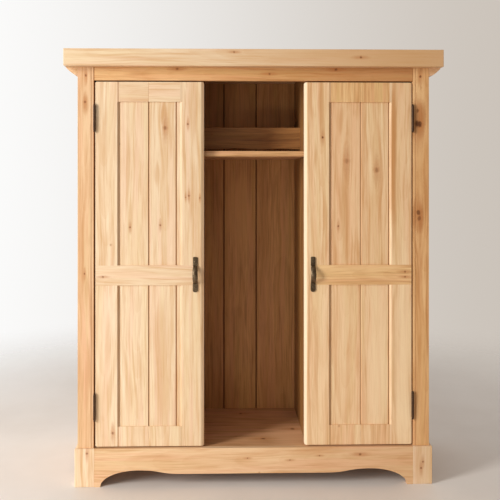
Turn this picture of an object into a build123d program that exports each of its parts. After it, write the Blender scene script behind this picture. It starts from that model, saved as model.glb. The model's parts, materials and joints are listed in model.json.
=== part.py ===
from build123d import *
import os

# A free-standing wardrobe: a framed carcass on a shaped plinth, under a plain deep cornice.
# Two inset doors, each about a third of the front, hang on the outer posts by barrel hinges.
# The middle third is an open bay between two partitions, with a high shelf and an upstand.
#
# Millimetres, +Z up. The front faces -Y and the viewer's right is +X.
# The origin is on the floor, midway between the sides and midway between front and back.
# Everything below is drawn for the left-hand side (negative X) and mirrored for the right.

# ---- Driving dimensions -------------------------------------------------------------------

TOTAL_HEIGHT = 1900.0
TOTAL_DEPTH = 590.0
BODY_WIDTH = 1540.0  # across the outer faces of the posts
SIDE_OVERHANG = 53.0  # cornice beyond the posts, at each side
FRONT_OVERHANG = 40.0  # cornice beyond the posts, at the front
PLINTH_PROUD = 11.0  # plinth beyond the posts, at the sides and the front

CORNICE_HEIGHT = 74.0
TOP_RAIL_HEIGHT = 58.0
PLINTH_HEIGHT = 165.0
POST_WIDTH = 71.0
POST_DEPTH = 34.0
REAR_POST = 45.0  # rear posts are square
BOARD = 22.0  # finished thickness of the solid boards
TONGUED_BOARD = 12.0  # thickness of the tongued and grooved boards
HOUSING = 8.0  # depth of the grooves that hold boards and stub tenons
END_PLAY = 0.5  # room left at the bottom of each groove
EASE = 1.0  # rounding on every sawn edge

DOOR_WIDTH = 473.0
DOOR_THICKNESS = 24.0
DOOR_GAP = 6.0  # between the door's outer edge and the post
DOOR_CLEARANCE = 6.0  # above and below the door
LEFT_STILES = (104.0, 104.0)  # widths of the hinge stile and the lock stile
RIGHT_STILES = (98.0, 117.0)
DOOR_RAIL = 87.0  # height of each of a door's three rails
MID_RAIL_CENTRE = 917.0
DOOR_CORNER = 7.0  # rounding of the four corners of a door, seen from the front
PANEL_SETBACK = 6.0  # boards behind the face of the door
STILE_CHAMFER = (9.0, 5.0)  # width and depth, along the boards
FREE_EDGE_CHAMFER = (14.0, 5.0)  # width and depth, down the free edge of each door

V_FRONT = 3.5  # each board's share of the V between two boards
V_BACK = 1.5
V_END = 4.5  # the half V where the end board of a door meets its stile
SCRIBED = (1.4, 1.4)  # half width and depth of the line scribed down a rail at a seam
TONGUE = (3.0, 4.0)  # thickness and reach
TONGUE_PLAY = 0.3

BACK_SETBACK = 505.0  # face of the back boards behind the face of the posts
BACK_SEAMS = (-530.0, -335.0, -132.0, 33.0, 240.0, 420.0, 570.0)
SIDE_SEAMS = (-105.0, 20.0, 140.0)
LEFT_DOOR_SEAMS = (128.0, 248.0)  # from the hinge stile
RIGHT_DOOR_SEAMS = (126.0,)

PARTITION_FACE = 229.0  # inner face of each partition from the centre
PARTITION_SEAM = -15.0  # along Y, where the two boards of a partition meet
SHELF_TOP = 1462.0
SHELF_THICKNESS = 24.0
SHELF_SETBACK = 40.0
SHELF_HOUSING = 6.0  # depth of the housings in the partitions
UPSTAND_SETBACK = 252.0
UPSTAND_Z = (1480.0, 1582.0)
UPSTAND_THICKNESS = 18.0
BATTEN_THICKNESS = 22.0
RAIL_BATTEN_HEIGHT = 90.0
CATCH_HEIGHT = 1520.0
HANGING_RAIL_RADIUS = 14.0
HANGING_RAIL_DROP = 60.0  # below the side shelf
SOCKET_RADIUS = 21.0
SOCKET_DEPTH = 12.0

BLOCK_INNER = 696.0  # inner side of a plinth block from the centre
BLOCK_DEPTH = 54.0
FOOT_INNER = 670.0  # where the apron's foot meets the floor
ARCH_PEAK = (507.0, 71.0)  # crown of the curve beside each foot: from the centre, height
APRON_FLAT = (314.0, 54.0)  # end of the straight middle stretch: from the centre, height

HINGE_HEIGHTS = (344.0, 1604.0)
BARREL_RADIUS = 5.5
BARREL_PROUD = 6.5  # hinge axis in front of the posts
PIN_RADIUS = 2.5
PIN_CLEARANCE = 0.08
KNUCKLES = 5
KNUCKLE_PITCH = 21.0
KNUCKLE_GAP = 0.4
LEAF_THICKNESS = 1.6
LEAF_REACH = 20.0
LEAF_START = 0.4  # front edge of each leaf, in front of the posts
FINIAL_HEIGHT = 10.0

HANDLE_INSET = 38.0  # handle's centre line from the free edge
HANDLE_CENTRE = 920.0
HANDLE_HALF = 77.0
HANDLE_WIDTH = 22.0
FOOT_LENGTH = 42.0
FOOT_THICKNESS = 4.0
GRIP_WIDTH = 15.0
GRIP_OUTER = (41.0, 30.0)  # half length at the feet, and reach from the door
GRIP_INNER = (31.0, 21.0)

# ---- Levels and faces worked out from them ------------------------------------------------

HALF_BODY = BODY_WIDTH / 2
CORNICE_SIDE = HALF_BODY + SIDE_OVERHANG
CORNICE_FACE = -TOTAL_DEPTH / 2
REAR = TOTAL_DEPTH / 2
FACE = CORNICE_FACE + FRONT_OVERHANG  # front of the posts and doors
PLINTH_FACE = FACE - PLINTH_PROUD
PLINTH_SIDE = HALF_BODY + PLINTH_PROUD
POST_INNER = HALF_BODY - POST_WIDTH
POST_BACK = FACE + POST_DEPTH
BACK_FACE = FACE + BACK_SETBACK
CEILING = TOTAL_HEIGHT - CORNICE_HEIGHT
DOOR_OUTER = POST_INNER - DOOR_GAP
DOOR_FREE = DOOR_OUTER - DOOR_WIDTH
DOOR_BACK = FACE + DOOR_THICKNESS
DOOR_BOTTOM = PLINTH_HEIGHT + DOOR_CLEARANCE
DOOR_TOP = CEILING - TOP_RAIL_HEIGHT - DOOR_CLEARANCE
PANEL = (FACE + PANEL_SETBACK, FACE + PANEL_SETBACK + TONGUED_BOARD)
MID_RAIL = (MID_RAIL_CENTRE - DOOR_RAIL / 2, MID_RAIL_CENTRE + DOOR_RAIL / 2)
PARTITION_FRONT = DOOR_BACK + 1.0
PARTITION_OUTER = PARTITION_FACE + BOARD
SIDE_INNER = HALF_BODY - BOARD
SIDE_PANEL = (HALF_BODY - PANEL_SETBACK - TONGUED_BOARD, HALF_BODY - PANEL_SETBACK)
SHELF_BOTTOM = SHELF_TOP - SHELF_THICKNESS
SHELF_FRONT = FACE + SHELF_SETBACK
AXIS_X = POST_INNER - DOOR_GAP / 2
AXIS_Y = FACE - BARREL_PROUD
HANDLE_X = DOOR_FREE + HANDLE_INSET


# ---- Shared shapes ------------------------------------------------------------------------

def box(x, y, z):
    """A plain box between two limits along each axis."""
    size = [limits[1] - limits[0] for limits in (x, y, z)]
    middle = [sum(limits) / 2 for limits in (x, y, z)]
    return Pos(*middle) * Box(*size)


def board(x, y, z, ease=EASE):
    """A sawn board: a box whose edges are all eased."""
    plain = box(x, y, z)
    return fillet(plain.edges(), ease)


def prism_z(points, z):
    """A solid of the given plan outline between two heights."""
    outline = make_face(Polyline(*points, close=True))
    return Pos(0, 0, z[0]) * extrude(outline, amount=z[1] - z[0], dir=(0, 0, 1))


def rod_x(x, radius, y, z):
    """A round bar along X."""
    middle = Pos((x[0] + x[1]) / 2, y, z)
    return middle * Rot(0, 90, 0) * Cylinder(radius, x[1] - x[0])


def group(solids):
    """Separate solids that share one node."""
    return Compound(children=list(solids))


def mirrored(shape):
    """The same piece for the other side of the wardrobe."""
    return mirror(shape, about=Plane.YZ)


def tongued_boards(seams, y, z):
    """Upright boards between neighbouring seams along X, facing -Y, with V joints."""
    front, back = y
    thick, reach = TONGUE
    middle = (front + V_FRONT + back - V_BACK) / 2
    boards = []
    for index, (start, end) in enumerate(zip(seams, seams[1:])):
        if index == 0:
            left = [(start, back), (start, front)]
        else:
            low = middle - thick / 2 - TONGUE_PLAY
            high = middle + thick / 2 + TONGUE_PLAY
            bottom = start + reach + TONGUE_PLAY
            left = [
                (start + V_BACK, back),
                (start, back - V_BACK),
                (start, high),
                (bottom, high),
                (bottom, low),
                (start, low),
                (start, front + V_FRONT),
                (start + V_FRONT, front),
            ]
        if index == len(seams) - 2:
            right = [(end, front), (end, back)]
        else:
            right = [
                (end - V_FRONT, front),
                (end, front + V_FRONT),
                (end, middle - thick / 2),
                (end + reach, middle - thick / 2),
                (end + reach, middle + thick / 2),
                (end, middle + thick / 2),
                (end, back - V_BACK),
                (end - V_BACK, back),
            ]
        boards.append(prism_z(left + right, z))
    return boards


# ---- Plinth -------------------------------------------------------------------------------

def plinth_front():
    """The shaped apron: flat in the middle, cresting beside each foot, then down to the floor."""
    peak_x, peak_z = ARCH_PEAK
    flat_x, flat_z = APRON_FLAT
    straight = Polyline(
        (-FOOT_INNER, 0),
        (-BLOCK_INNER, 0),
        (-BLOCK_INNER, PLINTH_HEIGHT),
        (BLOCK_INNER, PLINTH_HEIGHT),
        (BLOCK_INNER, 0),
        (FOOT_INNER, 0),
    )
    sweep = 0.55  # how far the tangents reach, as a share of the curve's run
    crest_run = FOOT_INNER - peak_x
    swell_run = peak_x - flat_x
    edge = [straight]
    for side in (-1, 1):
        edge.append(
            Bezier(
                (side * FOOT_INNER, 0),
                (side * FOOT_INNER, peak_z * sweep),
                (side * (peak_x + crest_run * sweep), peak_z),
                (side * peak_x, peak_z),
            )
        )
        edge.append(
            Bezier(
                (side * peak_x, peak_z),
                (side * (peak_x - swell_run * sweep), peak_z),
                (side * (flat_x + swell_run * sweep), flat_z),
                (side * flat_x, flat_z),
            )
        )
    edge.append(Line((-flat_x, flat_z), (flat_x, flat_z)))
    outline = make_face(edge)
    upright = Plane.XZ * outline
    solid = extrude(upright, amount=BOARD, dir=(0, 1, 0))
    return Pos(0, PLINTH_FACE, 0) * solid


def plinth_block():
    """The square block under each front post."""
    x = (-PLINTH_SIDE, -BLOCK_INNER)
    return board(x, (PLINTH_FACE, PLINTH_FACE + BLOCK_DEPTH), (0, PLINTH_HEIGHT), 2.0)


def plinth_side():
    """The side of the plinth, cut away underneath between two feet."""
    front = PLINTH_FACE + BLOCK_DEPTH
    plain = board((-PLINTH_SIDE, -PLINTH_SIDE + BOARD), (front, REAR), (0, PLINTH_HEIGHT))
    foot = 70.0
    height = APRON_FLAT[1]
    corner = 40.0
    opening = box(
        (-PLINTH_SIDE - 1, -PLINTH_SIDE + BOARD + 1),
        (front + foot, REAR - foot),
        (-corner, height),
    )
    along = opening.edges().filter_by(Axis.X).group_by(Axis.Z)[-1]
    return plain - fillet(along, corner)


def plinth():
    """Everything below the floor of the wardrobe."""
    inside = PLINTH_SIDE - BOARD
    under = PLINTH_HEIGHT - BOARD
    apron_back = PLINTH_FACE + BOARD
    rear_board = board((-inside, inside), (REAR - BOARD, REAR), (0, under))
    bearer = board(
        (-PARTITION_OUTER, -PARTITION_FACE), (apron_back, REAR - BOARD), (under - 90, under)
    )
    floor = board((-inside, inside), (apron_back, REAR), (under, PLINTH_HEIGHT))
    notch = box(
        (-inside - 1, -BLOCK_INNER), (apron_back - 1, PLINTH_FACE + BLOCK_DEPTH),
        (under - 1, PLINTH_HEIGHT + 1),
    )
    block = plinth_block()
    side = plinth_side()
    return {
        "plinth_front": plinth_front(),
        "plinth_blocks": group([block, mirrored(block)]),
        "plinth_side_left": side,
        "plinth_side_right": mirrored(side),
        "plinth_rear": rear_board,
        "plinth_bearers": group([bearer, mirrored(bearer)]),
        "bottom_board": floor - notch - mirrored(notch),
    }


# ---- Carcass ------------------------------------------------------------------------------

def front_post():
    """A front post with a quirked bead down its inner edge and a groove for the side boards."""
    bead = 12.0
    quirk = 1.6
    plain = board((-HALF_BODY, -POST_INNER), (FACE, POST_BACK), (PLINTH_HEIGHT, CEILING))
    groove = box(
        (-SIDE_PANEL[1], -SIDE_PANEL[0]), (POST_BACK - HOUSING, POST_BACK + 1),
        (PLINTH_HEIGHT - 1, CEILING + 1),
    )
    line = -POST_INNER - bead
    scribed = prism_z(
        [(line - quirk, FACE - 0.1), (line, FACE + quirk), (line + quirk, FACE - 0.1)],
        (PLINTH_HEIGHT - 1, CEILING + 1),
    )
    return plain - groove - scribed


def rear_post():
    """A square rear post, grooved for the side boards."""
    front = REAR - REAR_POST
    x = (-HALF_BODY, -HALF_BODY + REAR_POST)
    plain = board(x, (front, REAR), (PLINTH_HEIGHT, CEILING))
    groove = box(
        (-SIDE_PANEL[1], -SIDE_PANEL[0]), (front - 1, front + HOUSING),
        (PLINTH_HEIGHT - 1, CEILING + 1),
    )
    return plain - groove


def side_rail(z, panel_edge):
    """A rail of the side frame, with stub tenons and a groove in the edge beside the boards."""
    front = POST_BACK
    back = REAR - REAR_POST
    reach = HOUSING - END_PLAY
    plain = board((-HALF_BODY, -SIDE_INNER), (front, back), z)
    tenons = box((-SIDE_PANEL[1], -SIDE_PANEL[0]), (front - reach, back + reach), z)
    groove = box(
        (-SIDE_PANEL[1], -SIDE_PANEL[0]), (front - HOUSING, back + HOUSING),
        (panel_edge - HOUSING, panel_edge + HOUSING),
    )
    return plain + tenons - groove


def side_frame():
    """The two rails and the boards of one side."""
    low = (PLINTH_HEIGHT, PLINTH_HEIGHT + 90.0)
    high = (CEILING - 81.0, CEILING)
    reach = HOUSING - END_PLAY
    ends = (POST_BACK - reach, REAR - REAR_POST + reach)
    # The boards are drawn facing -Y and turned to face the side.
    depth = (-SIDE_PANEL[1], -SIDE_PANEL[0])
    seams = [-ends[1]] + [-seam for seam in reversed(SIDE_SEAMS)] + [-ends[0]]
    turned = Rot(0, 0, -90)
    boards = [
        turned * piece
        for piece in tongued_boards(seams, depth, (low[1] - reach, high[0] + reach))
    ]
    return group([side_rail(low, low[1]), side_rail(high, high[0])]), group(boards)


def partition():
    """An upright between two bays: two boards joined edge to edge, housed for the middle shelf."""
    height = (PLINTH_HEIGHT, CEILING)
    plain = board((-PARTITION_OUTER, -PARTITION_FACE), (PARTITION_FRONT, BACK_FACE), height)
    housing = box(
        (-PARTITION_FACE - SHELF_HOUSING, -PARTITION_FACE + 1), (SHELF_FRONT, BACK_FACE + 1),
        (SHELF_BOTTOM, SHELF_TOP),
    )
    joint = prism_z(
        [
            (-PARTITION_FACE + 0.1, PARTITION_SEAM - V_FRONT),
            (-PARTITION_FACE - V_FRONT, PARTITION_SEAM),
            (-PARTITION_FACE + 0.1, PARTITION_SEAM + V_FRONT),
        ],
        (PLINTH_HEIGHT - 1, CEILING + 1),
    )
    return plain - housing - joint


def carcass():
    """Posts, rails, sides, partitions, ceiling and back."""
    post = front_post()
    corner = rear_post()
    upright = partition()
    rails, boards = side_frame()
    back = (BACK_FACE, BACK_FACE + TONGUED_BOARD)
    back_inner = HALF_BODY - REAR_POST
    rail_depth = (back[1], back[1] + BOARD)
    low_rail = board((-back_inner, back_inner), rail_depth, (PLINTH_HEIGHT, PLINTH_HEIGHT + 90))
    high_rail = board((-back_inner, back_inner), rail_depth, (CEILING - 90, CEILING))
    back_seams = (-back_inner,) + BACK_SEAMS + (back_inner,)
    top_edge = CORNICE_SIDE - BOARD
    return {
        "front_post_left": post,
        "front_post_right": mirrored(post),
        "rear_post_left": corner,
        "rear_post_right": mirrored(corner),
        "side_rails_left": rails,
        "side_rails_right": mirrored(rails),
        "side_boards_left": boards,
        "side_boards_right": mirrored(boards),
        "front_top_rail": board(
            (-POST_INNER, POST_INNER), (FACE, DOOR_BACK), (CEILING - TOP_RAIL_HEIGHT, CEILING)
        ),
        "partition_left": upright,
        "partition_right": mirrored(upright),
        "back_boards": group(tongued_boards(back_seams, back, (PLINTH_HEIGHT, CEILING))),
        "back_rails": group([low_rail, high_rail]),
        "top_board": board(
            (-top_edge, top_edge), (CORNICE_FACE + BOARD, REAR), (CEILING, CEILING + BOARD)
        ),
    }


def cornice():
    """Plain deep boards round the top, and the moulding under each side overhang."""
    inner = CORNICE_SIDE - BOARD
    z = (CEILING, TOTAL_HEIGHT)
    side = board((-CORNICE_SIDE, -inner), (CORNICE_FACE + BOARD, REAR), z, 1.5)
    foot = 14.0  # width of the moulding's flat underside
    drop = 33.0
    lip = 3.0  # the moulding stops this far inside the cornice
    outer = -CORNICE_SIDE + lip
    below = CEILING - drop
    edge = [
        Polyline(
            (-HALF_BODY - foot, below), (-HALF_BODY, below), (-HALF_BODY, CEILING),
            (outer, CEILING), (outer, CEILING - lip),
        ),
        ThreePointArc(
            (outer, CEILING - lip), (outer + 17, CEILING - 19.5), (-HALF_BODY - foot, below)
        ),
    ]
    profile = Plane.XZ * make_face(edge)
    moulding = Pos(0, FACE, 0) * extrude(profile, amount=REAR - FACE, dir=(0, 1, 0))
    return {
        "cornice_front": board(
            (-CORNICE_SIDE, CORNICE_SIDE), (CORNICE_FACE, CORNICE_FACE + BOARD), z, 1.5
        ),
        "cornice_left": side,
        "cornice_right": mirrored(side),
        "cornice_mouldings": group([moulding, mirrored(moulding)]),
    }


# ---- Fittings inside ----------------------------------------------------------------------

def batten(x, height):
    """A strip fixed to an upright, carrying a shelf."""
    return board(x, (-190.0, 200.0), (SHELF_BOTTOM - height, SHELF_BOTTOM))


def upstand():
    """The board across the bay, just clear of the shelf, its lower edge left wavy from the tree."""
    bottom, top = UPSTAND_Z
    wave = (0.0, 0.0, 1.6, 5.0, 0.8, -1.2, 0.0, 2.4, 0.9, 0.0)
    step = 2 * PARTITION_FACE / (len(wave) - 1)
    points = [(-PARTITION_FACE + index * step, bottom + rise) for index, rise in enumerate(wave)]
    edge = Spline(*points)
    rest = Polyline(points[-1], (PARTITION_FACE, top), (-PARTITION_FACE, top), points[0])
    outline = Plane.XZ * make_face([edge, rest])
    plain = extrude(outline, amount=UPSTAND_THICKNESS, dir=(0, 1, 0))
    along_top = plain.edges().filter_by(Axis.X).group_by(Axis.Z)[-1]
    return Pos(0, FACE + UPSTAND_SETBACK, 0) * fillet(along_top, 2.0)


def interior():
    """Shelves, their battens, the upstand and the two hanging rails."""
    shelf_z = (SHELF_BOTTOM, SHELF_TOP)
    side_shelf = board((-SIDE_INNER, -PARTITION_OUTER), (SHELF_FRONT, BACK_FACE), shelf_z)
    outer_batten = (-SIDE_INNER, -SIDE_INNER + BATTEN_THICKNESS)
    inner_batten = (-PARTITION_OUTER - BATTEN_THICKNESS, -PARTITION_OUTER)
    left_battens = [
        batten(outer_batten, RAIL_BATTEN_HEIGHT),
        batten(inner_batten, RAIL_BATTEN_HEIGHT),
    ]
    rail_y = 10.0
    rail_z = SHELF_BOTTOM - HANGING_RAIL_DROP
    wall = 2.0  # the closed back of each socket
    play = 0.3
    rail = rod_x(
        (outer_batten[1] + wall + play, inner_batten[0] - wall - play),
        HANGING_RAIL_RADIUS, rail_y, rail_z,
    )
    bore = HANGING_RAIL_RADIUS + play
    outer_socket = rod_x(
        (outer_batten[1], outer_batten[1] + SOCKET_DEPTH), SOCKET_RADIUS, rail_y, rail_z
    ) - rod_x(
        (outer_batten[1] + wall, outer_batten[1] + SOCKET_DEPTH + 1), bore, rail_y, rail_z
    )
    inner_socket = rod_x(
        (inner_batten[0] - SOCKET_DEPTH, inner_batten[0]), SOCKET_RADIUS, rail_y, rail_z
    ) - rod_x(
        (inner_batten[0] - SOCKET_DEPTH - 1, inner_batten[0] - wall), bore, rail_y, rail_z
    )
    sockets = [outer_socket, inner_socket]
    housed = PARTITION_FACE + SHELF_HOUSING
    return {
        "centre_shelf": board((-housed, housed), (SHELF_FRONT, BACK_FACE), shelf_z, 1.5),
        "shelf_upstand": upstand(),
        "side_shelves": group([side_shelf, mirrored(side_shelf)]),
        "shelf_battens": group(left_battens + [mirrored(piece) for piece in left_battens]),
        "hanging_rails": group([rail, mirrored(rail)]),
        "rail_sockets": group(sockets + [mirrored(piece) for piece in sockets]),
    }


# ---- Hinges -------------------------------------------------------------------------------

def hinge_leaf(centre, outward, own, bore):
    """One leaf of a butt hinge with its knuckles.

    outward is -1 for the leaf on the post and 1 for the leaf on the door. own says which
    knuckles belong to this leaf: 0 for the even ones, 1 for the odd ones.
    """
    half = KNUCKLES * KNUCKLE_PITCH / 2
    near = DOOR_GAP / 2 - LEAF_THICKNESS
    sides = sorted((outward * near, outward * DOOR_GAP / 2))
    x = (-AXIS_X + sides[0], -AXIS_X + sides[1])
    leaf = box(x, (FACE - LEAF_START, FACE - LEAF_START + LEAF_REACH), (centre - half, centre + half))
    holes = None
    for index in range(KNUCKLES):
        if index % 2 != own:
            continue
        low = centre - half + index * KNUCKLE_PITCH + KNUCKLE_GAP / 2
        z = (low, low + KNUCKLE_PITCH - KNUCKLE_GAP)
        middle = Pos(-AXIS_X, AXIS_Y, sum(z) / 2)
        leaf += middle * Cylinder(BARREL_RADIUS, z[1] - z[0])
        leaf += box(x, (AXIS_Y + PIN_RADIUS + 1, FACE), z)
        hole = middle * Cylinder(bore, z[1] - z[0] + 0.2)
        holes = hole if holes is None else holes + hole
    return leaf - holes


def hinge_pin(centre):
    """The fixed pin, with a turned finial at each end."""
    half = KNUCKLES * KNUCKLE_PITCH / 2
    collar = 5.2
    ball = 4.4
    tip = half + FINIAL_HEIGHT
    rise = tip - ball - half - 2.6  # from the neck up to the middle of the ball
    neck = (ball**2 - rise**2) ** 0.5
    edges = [Line((0, -tip), (0, tip)), Line((PIN_RADIUS, -half), (PIN_RADIUS, half))]
    for end in (-1, 1):
        edges.append(
            Polyline(
                (PIN_RADIUS, end * half),
                (collar, end * half),
                (collar, end * (half + 1.6)),
                (neck, end * (half + 2.6)),
            )
        )
        edges.append(
            ThreePointArc((neck, end * (half + 2.6)), (ball, end * (tip - ball)), (0, end * tip))
        )
    turned = revolve(Plane.XZ * make_face(edges), axis=Axis.Z)
    return Pos(-AXIS_X, AXIS_Y, centre) * turned


def countersunk_screw(z, outward):
    """A wood screw through a leaf, its flat head flush with the leaf."""
    head = 3.5
    shank = 1.75
    length = 16.0
    profile = make_face(
        Polyline(
            (0, 0), (head, 0), (shank, LEAF_THICKNESS), (shank, length), (0, length + 2),
            close=True,
        )
    )
    turned = revolve(Plane.XZ * profile, axis=Axis.Z)
    start = Pos(-AXIS_X + outward * (DOOR_GAP / 2 - LEAF_THICKNESS), FACE + 10.0, z)
    return start * Rot(0, outward * 90, 0) * turned


def hinge_screws(outward):
    """Three screws in each of a door's two leaves on one side."""
    return [
        countersunk_screw(centre + offset, outward)
        for centre in HINGE_HEIGHTS
        for offset in (-38.0, 0.0, 38.0)
    ]


def hinges_on_post():
    """The fixed half of each hinge of the left door."""
    screws = hinge_screws(-1)
    leaves = []
    for centre in HINGE_HEIGHTS:
        leaf = hinge_leaf(centre, -1, 0, PIN_RADIUS)
        for screw in screws:
            leaf = leaf - screw
        leaves.append(leaf)
    pins = [hinge_pin(centre) for centre in HINGE_HEIGHTS]
    return leaves, pins, screws


# ---- Doors --------------------------------------------------------------------------------

def handle():
    """A forged pull: two flat feet and a bowed grip between them."""
    upper = board(
        (-HANDLE_X - HANDLE_WIDTH / 2, -HANDLE_X + HANDLE_WIDTH / 2),
        (FACE - FOOT_THICKNESS, FACE),
        (HANDLE_CENTRE + HANDLE_HALF - FOOT_LENGTH, HANDLE_CENTRE + HANDLE_HALF),
    )
    lower = mirror(upper, about=Plane.XY.offset(HANDLE_CENTRE))
    outer_half, outer_reach = GRIP_OUTER
    inner_half, inner_reach = GRIP_INNER
    base = -FOOT_THICKNESS / 2
    # The grip is drawn from the side: distance from the door's face, then height.
    outline = make_face(
        [
            ThreePointArc((base, outer_half), (-outer_reach, 0), (base, -outer_half)),
            Line((base, -outer_half), (base, -inner_half)),
            ThreePointArc((base, -inner_half), (-inner_reach, 0), (base, inner_half)),
            Line((base, inner_half), (base, outer_half)),
        ]
    )
    grip = extrude(Plane.YZ * outline, amount=GRIP_WIDTH, dir=(1, 0, 0))
    long_edges = grip.edges().filter_by(GeomType.CIRCLE)
    grip = fillet(long_edges, 2.5)
    grip = Pos(-HANDLE_X - GRIP_WIDTH / 2, FACE, HANDLE_CENTRE) * grip
    return upper + lower + grip


def round_head_screw(z):
    """A round-headed screw through a foot of the handle."""
    head = 4.5
    dome = 2.6
    shank = 2.0
    length = 18.0
    sphere = (head**2 + dome**2) / (2 * dome)
    shoulder = (sphere * 0.5, dome - sphere + sphere * 0.75**0.5)
    profile = make_face(
        [
            Polyline((0, dome), (0, -length), (shank, -length), (shank, 0), (head, 0)),
            ThreePointArc((head, 0), shoulder, (0, dome)),
        ]
    )
    turned = revolve(Plane.XZ * profile, axis=Axis.Z)
    return Pos(-HANDLE_X, FACE - FOOT_THICKNESS, z) * Rot(90, 0, 0) * turned


def wedge(edge_x, inward, chamfer, z):
    """What a chamfer takes off an upright front edge; inward is the side the wood is on."""
    width, depth = chamfer
    points = [
        (edge_x + inward * width, FACE),
        (edge_x + inward * width, FACE - 1),
        (edge_x - inward, FACE - 1),
        (edge_x - inward, FACE + depth),
        (edge_x, FACE + depth),
    ]
    return prism_z(points, z)


def stile(x, outer, z):
    """A door stile whose two corners at the door's own edge, outer, are rounded more."""
    plain = box(x, (FACE, DOOR_BACK), z)
    corners = plain.edges().filter_by(Axis.Y).filter_by(
        lambda edge: abs(edge.center().X - outer) < 0.1
    )
    rounded = fillet(corners, DOOR_CORNER)
    return fillet(rounded.edges(), EASE)


def end_v(edge_x, inward, z):
    """What the end board of a door loses beside its stile."""
    front = PANEL[0]
    points = [(edge_x, front - 0.1), (edge_x, front + V_END), (edge_x + inward * V_END, front - 0.1)]
    return prism_z(points, z)


def door(seams, stiles):
    """The moving pieces of the left door, for its seams and its two stile widths."""
    stile_edge = -DOOR_OUTER + stiles[0]
    lock_edge = -DOOR_FREE - stiles[1]
    lap_end = -HANDLE_X
    reach = HOUSING - END_PLAY
    height = (DOOR_BOTTOM, DOOR_TOP)
    depth = (FACE, DOOR_BACK)
    bottom_rail = (DOOR_BOTTOM, DOOR_BOTTOM + DOOR_RAIL)
    top_rail = (DOOR_TOP - DOOR_RAIL, DOOR_TOP)
    fields = ((bottom_rail[1], MID_RAIL[0]), (MID_RAIL[1], top_rail[0]))
    lap = box((-DOOR_OUTER - 1, lap_end), (FACE - 1, PANEL[0]), MID_RAIL)

    hinge_stile = stile((-DOOR_OUTER, stile_edge), -DOOR_OUTER, height)
    hinge_stile -= box((stile_edge - HOUSING, stile_edge + 1), PANEL, height)
    hinge_stile -= lap
    lock_stile = stile((lock_edge, -DOOR_FREE), -DOOR_FREE, height)
    lock_stile -= box((lock_edge - 1, lock_edge + HOUSING), PANEL, height)
    lock_stile -= lap
    lock_stile -= wedge(-DOOR_FREE, -1, FREE_EDGE_CHAMFER, height)
    for field in fields:
        hinge_stile -= wedge(stile_edge, -1, STILE_CHAMFER, field)
        lock_stile -= wedge(lock_edge, 1, STILE_CHAMFER, field)

    across = (stile_edge, lock_edge)
    tenon_ends = (stile_edge - reach, lock_edge + reach)

    half, deep = SCRIBED
    seam_x = stile_edge + seams[0]
    line = [(seam_x - half, FACE - 0.1), (seam_x, FACE + deep), (seam_x + half, FACE - 0.1)]

    def rail(z, grooved_edges):
        piece = board(across, depth, z) + box(tenon_ends, PANEL, z)
        for edge in grooved_edges:
            piece -= box(
                (tenon_ends[0] - 1, tenon_ends[1] + 1), PANEL, (edge - HOUSING, edge + HOUSING)
            )
        return piece

    mid_rail = rail(MID_RAIL, MID_RAIL)
    mid_rail += board((-DOOR_OUTER, lap_end), (FACE, PANEL[0]), MID_RAIL, 0.6)
    board_seams = (
        [tenon_ends[0]] + [stile_edge + seam for seam in seams] + [tenon_ends[1]]
    )
    lower, upper = [
        tongued_boards(board_seams, PANEL, (field[0] - reach, field[1] + reach))
        for field in fields
    ]
    for boards in (lower, upper):
        boards[0] -= end_v(stile_edge, 1, height)
        if lock_edge - board_seams[-2] > 2 * BOARD:
            boards[-1] -= end_v(lock_edge, -1, height)

    handle_screws = [
        round_head_screw(HANDLE_CENTRE + side * (HANDLE_HALF - FOOT_LENGTH / 2))
        for side in (-1, 1)
    ]
    pull = handle()
    for screw in handle_screws:
        pull = pull - screw
        lock_stile = lock_stile - screw
    leaf_screws = hinge_screws(1)
    leaves = [hinge_leaf(centre, 1, 1, PIN_RADIUS + PIN_CLEARANCE) for centre in HINGE_HEIGHTS]
    for screw in leaf_screws:
        hinge_stile = hinge_stile - screw
        leaves = [leaf - screw for leaf in leaves]
    strike = board(
        (-PARTITION_OUTER - 14, -PARTITION_OUTER - 2), (DOOR_BACK, DOOR_BACK + 0.6),
        (CATCH_HEIGHT - 18, CATCH_HEIGHT + 18), 0.2,
    )
    return {
        "hinge_stile": hinge_stile,
        "lock_stile": lock_stile,
        "door_top_rail": rail(top_rail, (top_rail[0],)) - prism_z(line, top_rail),
        "door_mid_rail": mid_rail,
        "door_bottom_rail": rail(bottom_rail, (bottom_rail[1],)) - prism_z(line, bottom_rail),
        "door_upper_boards": group(upper),
        "door_lower_boards": group(lower),
        "door_handle": pull,
        "handle_screws": group(handle_screws),
        "door_hinge_leaves": group(leaves),
        "door_hinge_screws": group(leaf_screws),
        "door_strike": strike,
    }


# ---- Assembly -----------------------------------------------------------------------------


def magnetic_catch():
    """The magnet that holds a door shut, on the outer face of the partition."""
    return board(
        (-PARTITION_OUTER - 16, -PARTITION_OUTER), (DOOR_BACK + 1.0, DOOR_BACK + 27.0),
        (CATCH_HEIGHT - 22, CATCH_HEIGHT + 22),
    )


def build():
    """Every piece of the wardrobe, by name."""
    pieces = {}
    pieces.update(plinth())
    pieces.update(carcass())
    pieces.update(cornice())
    pieces.update(interior())

    leaves, pins, screws = hinges_on_post()
    for screw in screws:
        pieces["front_post_left"] -= screw
    pieces["front_post_right"] = mirrored(pieces["front_post_left"])
    pieces["post_hinge_leaves"] = group(leaves + [mirrored(leaf) for leaf in leaves])
    pieces["hinge_pins"] = group(pins + [mirrored(pin) for pin in pins])
    pieces["post_hinge_screws"] = group(screws + [mirrored(screw) for screw in screws])

    catch = magnetic_catch()
    pieces["magnetic_catches"] = group([catch, mirrored(catch)])

    for name, piece in door(LEFT_DOOR_SEAMS, LEFT_STILES).items():
        pieces["left_" + name] = piece
    for name, piece in door(RIGHT_DOOR_SEAMS, RIGHT_STILES).items():
        pieces["right_" + name] = mirrored(piece)
    return pieces


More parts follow.
